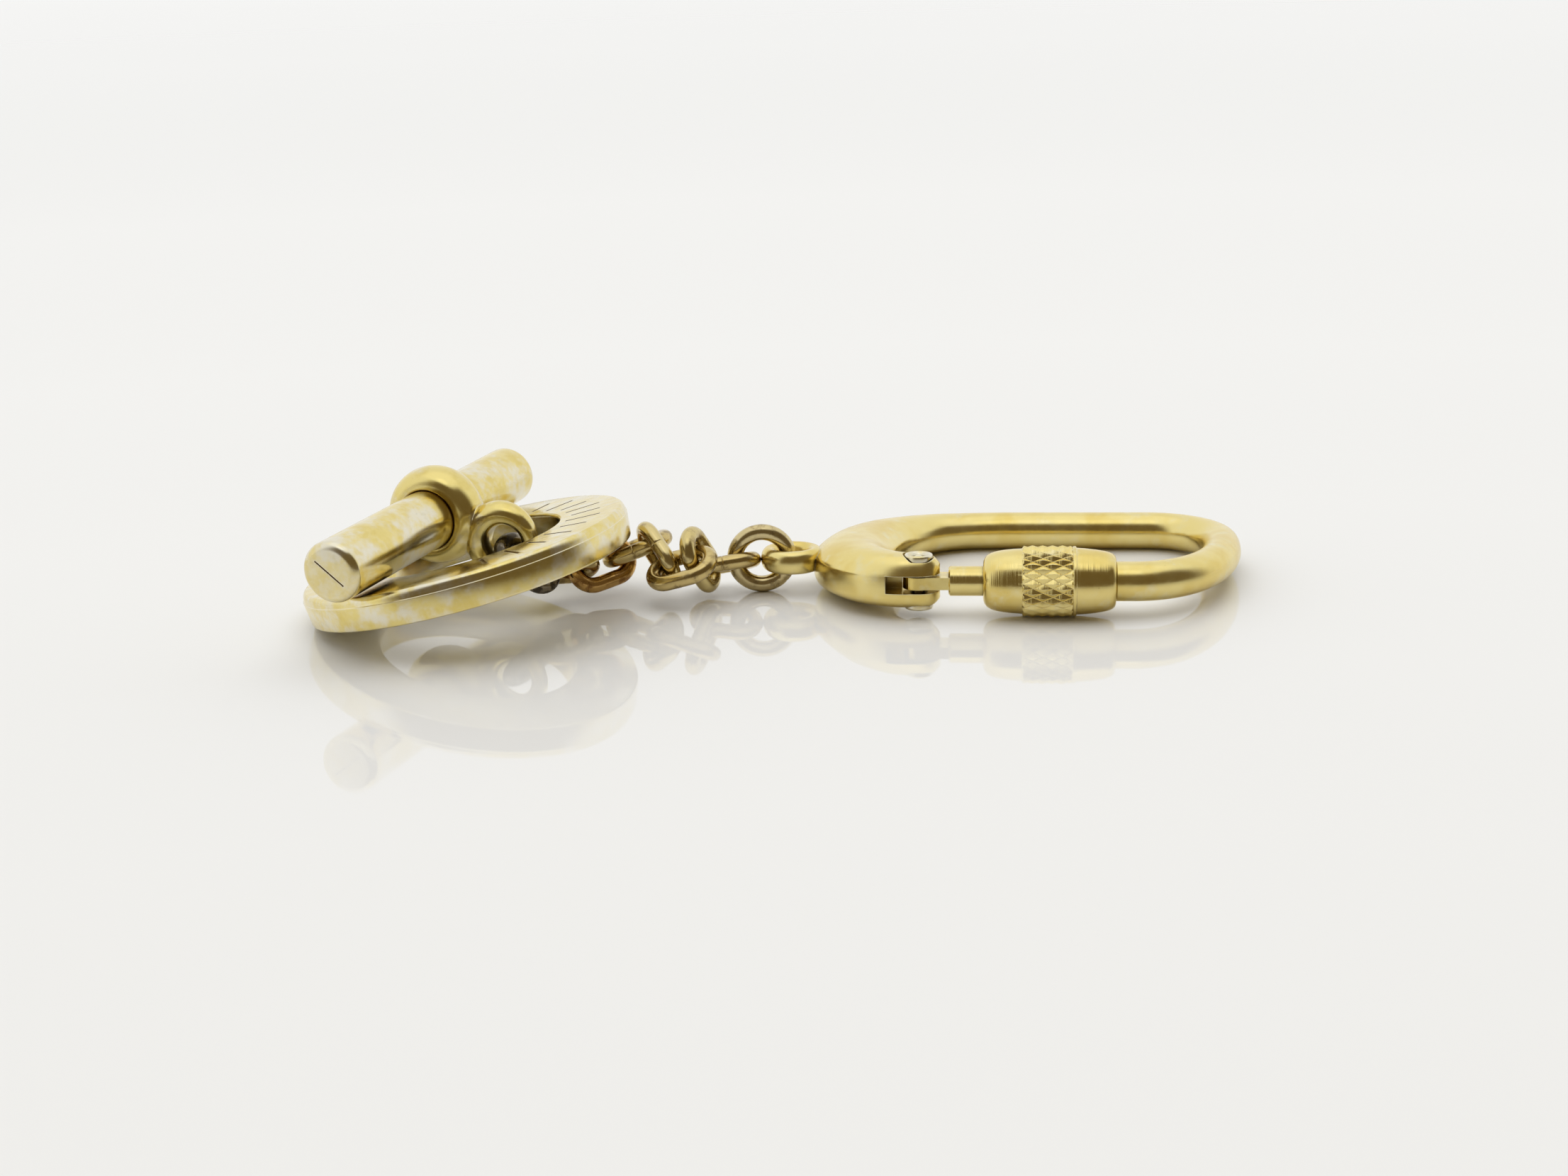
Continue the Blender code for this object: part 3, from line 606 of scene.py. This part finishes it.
def oval_path(length, width, wire, steps):
    """The centre line of an oval link of round wire."""
    bend = (width - wire) / 2
    run = (length - width) / 2
    points = []
    for k in range(steps + 1):
        angle = math.pi * k / steps - math.pi / 2
        points.append((run + bend * math.cos(angle), bend * math.sin(angle)))
    # Closer rows about the joint on the far straight keep its nick narrow
    for share in (0.2, 0.4, 0.46, 0.5, 0.54, 0.6, 0.8):
        points.append((run - 2 * run * share, bend))
    for k in range(steps + 1):
        angle = math.pi * k / steps + math.pi / 2
        points.append((-run + bend * math.cos(angle), bend * math.sin(angle)))
    return points


ring_brass = wire_brass("dull_brass_wire", "#D0BF90", "#A4926A", 0.16)
jump_wire, jump_radius, jump_steps = 2.0, 3.35, 96
jump_path = [(jump_radius * math.cos(2 * math.pi * k / jump_steps),
              jump_radius * math.sin(2 * math.pi * k / jump_steps)) for k in range(jump_steps)]
jump_joint = jump_path[20]
jump = bent_wire("jump_ring_piece", jump_path, jump_wire / 2, jump_joint)
settle(jump, ring_lie("jump_ring"), "jump_ring", ring_brass, "chain_brass", "jump_ring")

# Each link has its own share of film; one has gone orange brown. The one in the toggle's eye is
# drawn almost black, which paints the shade inside the eye
link_tones_and_shade = {6: ("#CFA868", "#9A7242", 0.20), 8: ("#8C8270", "#4C453A", 0.24),
                 2: ("#CFBC82", "#A8946A", 0.10), 4: ("#D2C08A", "#A8946A", 0.10)}
link_wire, link_length, link_width = 1.95, 9.4, 6.5
link_path = oval_path(link_length, link_width, link_wire, 22)
link_joint = (0, (link_width - link_wire) / 2)
for number in range(1, 9):
    bright, dull, film = link_tones_and_shade.get(number, ("#CCB67C", "#A08C60", 0.15))
    link_metal = wire_brass("brass_wire_of_link_%d" % number, bright, dull, film)
    node = "chain_link_%d" % number
    centre, directions, _ = lie_of(node)
    lie = placement(centre, directions[0], directions[2])
    link = bent_wire("link_%d_piece" % number, link_path, link_wire / 2, link_joint)
    settle(link, lie, node, link_metal, "chain_brass", node)


# ---- Toggle bar
# A solid bar with rounded ends, gold plated over nickel. The gold has rubbed
# through to the pale nickel along the top and at both ends, and the end face
# keeps a hairline across it from the parting tool.

def worn_gold(name, patch_mm, bare_low, bare_high, worn_ends_mm, grain, rough_low):
    """Gold plate rubbed through to nickel in cloudy patches, along edges and, where a length is
    given, at both ends of a bar. The corners are darker: painted shade, with some dirt."""
    made, tree, shader = new_metal(name)
    cloud_mm, speck_mm, stain_mm, pit_mm, grain_mm = 2.6, 1.0, 4.2, 0.36, 1.1
    edge_mm, round_mm, shade_and_dirt_mm = 0.35, 0.10, 0.5
    place = add_node(tree, "ShaderNodeTexCoord").outputs["Object"]
    clouds = blotches(tree, cloud_mm, 4, 0.40, 0.66, place)
    bare = blotches(tree, patch_mm, 3, bare_low, bare_high, place)
    edge = edge_share(tree, edge_mm, 0.93, 0.998)
    worn = add_node(tree, "ShaderNodeMath", {0: bare, 1: edge}, operation="MAXIMUM").outputs[0]
    if worn_ends_mm:
        # The wear fades over the last 3 mm before each end
        split = add_node(tree, "ShaderNodeSeparateXYZ", {0: place})
        reach = add_node(tree, "ShaderNodeMath", {0: split.outputs[2]}, operation="ABSOLUTE")
        ends = add_node(tree, "ShaderNodeMapRange", {0: reach.outputs[0],
                                                     1: (worn_ends_mm - 3.0) * MM,
                                                     2: (worn_ends_mm - 0.3) * MM, 4: 0.5})
        worn = add_node(tree, "ShaderNodeMath", {0: worn, 1: ends.outputs[0]},
                        operation="MAXIMUM").outputs[0]
    # The rubbed patches break up into specks of about 1 mm at their rims
    specks = blotches(tree, speck_mm, 3, 0.32, 0.68, place)
    rim = add_node(tree, "ShaderNodeMapRange", {0: specks, 3: -0.12, 4: 0.12}).outputs[0]
    worn = add_node(tree, "ShaderNodeMath", {0: worn, 1: rim}, operation="ADD").outputs[0]
    worn = add_node(tree, "ShaderNodeMapRange", {0: worn, 1: 0.08, 2: 1.00, 4: 0.90},
                    interpolation_type="SMOOTHSTEP").outputs[0]
    stain = blotches(tree, stain_mm, 4, 0.60, 0.80, place)
    pits = blotches(tree, pit_mm, 2, 0.76, 0.80, place)
    # Darker brown where little open space lies above, from this piece and its neighbours: painted
    # shade where parts meet and in the ticks, with some dirt
    corner_shade_and_dirt = shade_and_dirt_share(tree, shade_and_dirt_mm, 0.80, 0.50, False)
    colour = coats(tree, linear("#E5D38A"), (clouds, linear("#DDC877")), (worn, linear("#E6E1D0")),
                   (stain, linear("#C2B88E")), (pits, linear("#6E6349")),
                   (corner_shade_and_dirt, linear("#A1843F")))
    tree.links.new(colour, shader.inputs["Base Color"])
    rough = add_node(tree, "ShaderNodeMapRange", {0: worn, 3: rough_low, 4: rough_low + 0.07})
    tree.links.new(rough.outputs[0], shader.inputs["Roughness"])
    fine = add_node(tree, "ShaderNodeTexNoise", {"Vector": place, "Scale": 1 / (grain_mm * MM),
                                                 "Detail": 3})
    bevel = add_node(tree, "ShaderNodeBevel", {"Radius": round_mm * MM}, samples=4)
    bump = add_node(tree, "ShaderNodeBump", {"Strength": grain, "Distance": 0.05 * MM,
                                             "Height": fine.outputs[0],
                                             "Normal": bevel.outputs[0]})
    tree.links.new(bump.outputs[0], shader.inputs["Normal"])
    return made


bar_length, bar_dia, bar_round = 45.0, 7.3, 0.95
bar_lie = ring_lie("toggle_bar")
bar_along = bar_lie.to_3x3() @ Vector((0, 0, 1))
if bar_along.y < 0:
    bar_along = -bar_along
bar_middle = bar_lie.translation
bar_place = placement(bar_middle, Vector((0, 0, 1)), bar_along)


def build_bar():
    half, radius = bar_length / 2, bar_dia / 2
    arc = []
    for k in range(11):
        angle = math.pi / 2 * k / 10
        arc.append((radius - bar_round * (1 - math.sin(angle)),
                    half - bar_round * (1 - math.cos(angle))))
    straight = bar_length - 2 * bar_round
    rows = arc + [(radius, half - bar_round - straight * k / 20) for k in range(1, 20)]
    rows += [(r, -z) for r, z in reversed(arc)]
    profile = [(centre_flat, half)] + rows + [(centre_flat, -half)]
    bar = turn_profile("toggle_bar_piece", profile, 96, False)
    # The parting line across the near end face
    nick_long, nick_wide, nick_deep, nick_turn = 4.4, 0.16, 0.2, -52
    nick = box_shape("end_nick", (-nick_long / 2, -nick_wide / 2, -half - 1),
                     (nick_long / 2, nick_wide / 2, -half + nick_deep))
    nick.data.transform(Matrix.Rotation(math.radians(nick_turn), 4, "Z"))
    cut(bar, nick)
    return bar


bar = build_bar()
bar_gold = worn_gold("gold_over_nickel_bar", patch_mm=4.6, bare_low=0.32, bare_high=0.72,
                     worn_ends_mm=bar_length / 2, grain=0.09, rough_low=0.16)
settle(bar, bar_place, "toggle", bar_gold, "worn_gold", "toggle_bar")


# ---- Collar and its eye
# One casting: a half round collar that grips the bar, thin lips at its sides,
# and an eye that swells out of it to take the last link. Plated as the bar.

eye_centre = Vector(joints["toggle_hinge"]["pos_m"])


def build_collar():
    collar_dia, collar_width, lip, clearance = 12.2, 5.5, 0.62, 0.03
    bore = bar_dia / 2 + clearance
    edge = bore + lip
    half = collar_width / 2
    profile = []
    for k in range(25):
        angle = math.pi * k / 24
        profile.append((edge + (collar_dia / 2 - edge) * math.sin(angle), half * math.cos(angle)))
    profile += [(bore, -half), (bore, half)]
    collar = turn_profile("collar_piece", profile, 96, True)
    # The eye stands out along X; its wire swells towards the collar
    middle = bar_middle + bar_along * (eye_centre - bar_middle).dot(bar_along)
    place = placement(middle, eye_centre - middle, bar_along)
    reach = (eye_centre - middle).length / MM
    eye_hole, eye_thick, eye_tall = 2.15, 1.0, 1.05
    thick_swell, tall_swell = 0.7, 1.1
    rings = []
    steps, around = 72, 24
    for k in range(steps):
        angle = 2 * math.pi * k / steps
        swell = 0.5 - 0.5 * math.cos(angle)
        thick, tall = eye_thick + thick_swell * swell, eye_tall + tall_swell * swell
        out = Vector((math.cos(angle), math.sin(angle), 0))
        ring = []
        for step in range(around):
            turn = 2 * math.pi * step / around
            ring.append((Vector((reach, 0, 0)) + out * (eye_hole + thick * (1 + math.cos(turn)))
                         + Vector((0, 0, tall * math.sin(turn)))) * MM)
        rings.append(ring)
    eye = skin("collar_eye", rings, False, True)
    cut(collar, eye, "UNION")
    # The cast corner between the two is filled and softened
    remesh = collar.modifiers.new("remesh", "REMESH")
    remesh.mode = "VOXEL"
    remesh.voxel_size = 0.12 * MM
    soften = collar.modifiers.new("soften", "SMOOTH")
    soften.factor = 0.5
    soften.iterations = 8
    apply_modifiers(collar)
    return collar, place


collar, collar_place = build_collar()
collar_gold = worn_gold("gold_over_nickel_collar", patch_mm=5.0, bare_low=0.42, bare_high=0.78,
                        worn_ends_mm=None, grain=0.07, rough_low=0.18)
settle(collar, collar_place, "toggle", collar_gold, "worn_gold", "toggle_collar")


# ---- Disc ring
# A flat ring with a sloped shoulder and a ridge round its rim, gold plated
# over nickel and worn along the rim. Plain scored ticks cross the right half
# of its face.

def build_disc():
    outer, hole, half = 20.3, 12.0, 2.05
    shoulder, drop, shoulder_turn = 0.7, 1.1, 80
    ridge, ridge_width, fillet, foot = 0.10, 0.12, 0.45, 0.25
    profile = []

    def arc(centre_r, centre_z, radius, start, end, steps=6):
        for k in range(steps + 1):
            angle = math.radians(start + (end - start) * k / steps)
            profile.append((centre_r + radius * math.cos(angle),
                            centre_z + radius * math.sin(angle)))

    arc(hole + fillet, half - fillet, fillet, 180, 90)
    # The shoulder rounds down to a narrow ridge that the side wall ends in
    for k in range(9):
        angle = math.radians(shoulder_turn * k / 8)
        profile.append((outer - shoulder + (shoulder - ridge_width) * math.sin(angle),
                        half - drop * (1 - math.cos(angle))))
    arc(outer - ridge, half - drop - ridge, ridge, 75, 0, 3)
    foot_radius = outer - fillet * 0.6
    profile.append((foot_radius, -half + foot))
    arc(foot_radius - foot, -half + foot, foot, 0, -90, 4)
    arc(hole + fillet, -half + fillet, fillet, 270, 180)
    disc = turn_profile("disc_ring_piece", profile, 240, True)
    # The scored ticks, every other one longer
    long_tick, short_tick, tick_width, tick_depth = 4.4, 3.6, 0.40, 0.22
    tick_count, first_tick, tick_step, tick_middle = 11, -52, 13, 15.4
    ticks = bmesh.new()
    for k in range(tick_count):
        angle = math.radians(first_tick + tick_step * k)
        length = long_tick if k % 2 else short_tick
        place = (Matrix.Rotation(angle, 4, "Z")
                 @ Matrix.Translation((tick_middle * MM, 0, half * MM))
                 @ Matrix.Diagonal((length * MM, tick_width * MM, 2 * tick_depth * MM, 1)))
        bmesh.ops.create_cube(ticks, size=1, matrix=place)
    mesh = bpy.data.meshes.new("ticks")
    ticks.to_mesh(mesh)
    ticks.free()
    cutter = bpy.data.objects.new("ticks", mesh)
    bpy.context.scene.collection.objects.link(cutter)
    cut(disc, cutter)
    return disc


_, disc_directions, _ = lie_of("disc_ring")
disc_normal = disc_directions[2] if disc_directions[2].z > 0 else -disc_directions[2]
disc_across = bar_along.cross(disc_normal)
disc_middle = Vector(joints["disc_ring_turn"]["pos_m"])
disc = build_disc()
disc_gold = worn_gold("gold_over_nickel_disc", patch_mm=3.4, bare_low=0.26, bare_high=0.80,
                      worn_ends_mm=None, grain=0.04, rough_low=0.15)
settle(disc, placement(disc_middle, disc_across, disc_normal), "disc_ring", disc_gold,
       "worn_gold", "disc_ring", sharp_degrees=28)


# ---- Table, light and camera
# A glossy white laminate table under a soft box. The room is pale, dark only
# towards the front right and brighter overhead, which the metal shows as bands.

def white_table():
    """Laminate: white, and smooth enough to mirror the object faintly."""
    made = bpy.data.materials.new("glossy_white_laminate")
    made.use_nodes = True
    shader = made.node_tree.nodes["Principled BSDF"]
    shader.inputs["Base Color"].default_value = linear("#F5F5F4")
    shader.inputs["Roughness"].default_value = 0.03
    shader.inputs["IOR"].default_value = 1.45
    shader.inputs["Specular IOR Level"].default_value = 0.5
    return made


table_half = 5.0
mesh = bpy.data.meshes.new("table")
mesh.from_pydata([(-table_half, -table_half, 0), (table_half, -table_half, 0),
                  (table_half, table_half, 0), (-table_half, table_half, 0)], [], [(0, 1, 2, 3)])
table = bpy.data.objects.new("table", mesh)
table.data.materials.append(white_table())
bpy.context.scene.collection.objects.link(table)

world = bpy.data.worlds.new("studio")
world.use_nodes = True
bpy.context.scene.world = world
tree = world.node_tree
background = tree.nodes["Background"]
direction = add_node(tree, "ShaderNodeTexCoord").outputs["Generated"]
parts = add_node(tree, "ShaderNodeSeparateXYZ", {0: direction})
front_right, box_direction = (0.45, -0.89, 0), (0, -0.30, 0.954)
pale_wall, dark_corner = (0.96, 0.96, 0.95, 1), (0.155, 0.118, 0.068, 1)
bright_top, box_glow = (1.10, 1.10, 1.08, 1), (1.32, 1.32, 1.30, 1)
toward = add_node(tree, "ShaderNodeVectorMath", {0: direction, 1: front_right},
                  operation="DOT_PRODUCT")
to_front = add_node(tree, "ShaderNodeMapRange", {0: toward.outputs["Value"], 1: 0.10, 2: 0.50},
                    interpolation_type="SMOOTHSTEP").outputs[0]
to_top = add_node(tree, "ShaderNodeMapRange", {0: parts.outputs[2], 1: 0.76, 2: 0.92},
                  interpolation_type="SMOOTHSTEP").outputs[0]
to_box = add_node(tree, "ShaderNodeVectorMath", {0: direction, 1: box_direction},
                  operation="DOT_PRODUCT")
box = add_node(tree, "ShaderNodeMapRange", {0: to_box.outputs["Value"], 1: 0.970, 2: 0.992},
               interpolation_type="SMOOTHSTEP").outputs[0]
seen = add_node(tree, "ShaderNodeLightPath").outputs["Is Camera Ray"]
room = coats(tree, pale_wall, (to_front, dark_corner), (to_top, bright_top), (box, box_glow),
             (seen, linear("#F2F2F2")))
tree.links.new(room, background.inputs["Color"])
background.inputs["Strength"].default_value = 1

lamp = bpy.data.lights.new("soft_box", "AREA")
lamp.shape = "RECTANGLE"
lamp.size = 0.95
lamp.size_y = 0.75
lamp.energy = 1.15
box_lamp = bpy.data.objects.new("soft_box", lamp)
box_lamp.location = (0, 0.06, 0.72)
box_lamp.visible_glossy = False
bpy.context.scene.collection.objects.link(box_lamp)

# The view is a normal lens from a quarter of a metre, looking 18 degrees down
# and 6 degrees to the left, with the camera tipped a little
lens = bpy.data.cameras.new("view")
lens.lens = 50
lens.sensor_width = 36
lens.clip_start = 0.01
lens.clip_end = 50
camera = bpy.data.objects.new("view", lens)
pitch_down, turn_left, tip = math.radians(17.84), math.radians(6), math.radians(1.7)
ahead = Vector((-math.sin(turn_left) * math.cos(pitch_down),
                math.cos(turn_left) * math.cos(pitch_down), -math.sin(pitch_down)))
level_right = Vector((math.cos(turn_left), math.sin(turn_left), 0))
level_up = level_right.cross(ahead)
right = level_right * math.cos(tip) - level_up * math.sin(tip)
up = level_right * math.sin(tip) + level_up * math.cos(tip)
camera_spot = Vector((27.405, -253.465, 83.983)) * MM
facing = Matrix((right, up, -ahead)).transposed().to_4x4()
camera.matrix_world = Matrix.Translation(camera_spot) @ facing
bpy.context.scene.collection.objects.link(camera)
bpy.context.scene.camera = camera
bpy.context.scene.view_settings.view_transform = "Standard"
